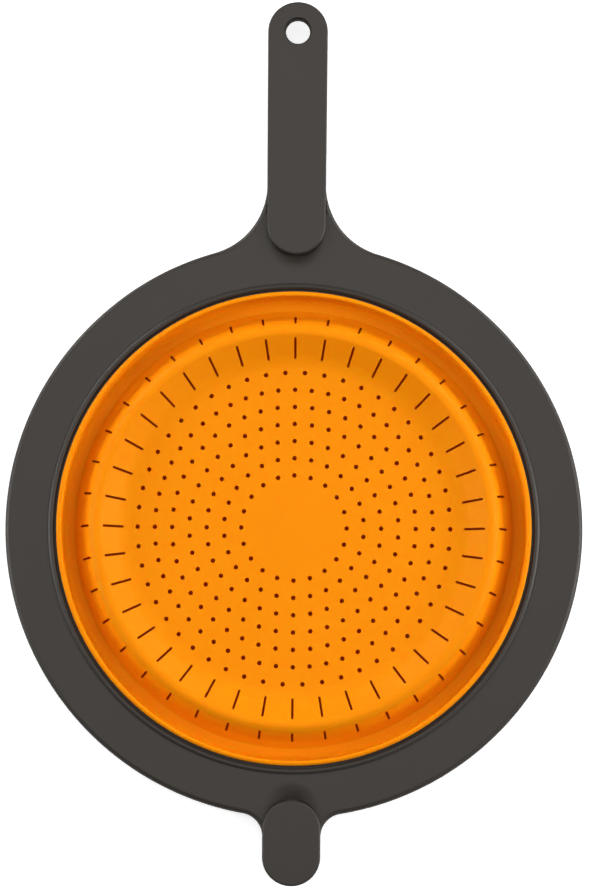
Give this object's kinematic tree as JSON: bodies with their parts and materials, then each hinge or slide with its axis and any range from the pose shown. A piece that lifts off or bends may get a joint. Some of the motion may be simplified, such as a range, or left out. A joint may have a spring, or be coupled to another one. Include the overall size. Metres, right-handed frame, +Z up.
{
  "type": "steamer insert",
  "caption": "Steamer insert: a flat nylon ring with a long arm and a short arm, carrying a silicone bowl that folds flat and drops open.",
  "frame": {"origin": "under the middle of the whole outline, on the surface that the folded insert lies on; the bowl's axis is at y = -0.04385 m", "axes": "+Y along the long arm towards its hang hole, +Z up out of the bowl, +X to the right seen from above"},
  "size_m": [0.285, 0.439, 0.0151],
  "materials": {
    "nylon": "fine matte, charcoal",
    "silicone": "satin, orange"
  },
  "bodies": {
    "frame": {"frame": "nylon", "long_grip": "nylon", "short_grip": "nylon", "bowl_ring": "nylon", "bowl_rim": "silicone", "bowl_fold": "silicone"},
    "basin": {"bowl_slope": "silicone", "bowl_floor": "silicone"}
  },
  "joints": [
    {"name": "bowl_drop", "type": "slide", "parent": "frame", "child": "basin", "axis": [0, 0, -1], "range_m": [0, 0.022], "deforming": ["bowl_fold"]}
  ]
}
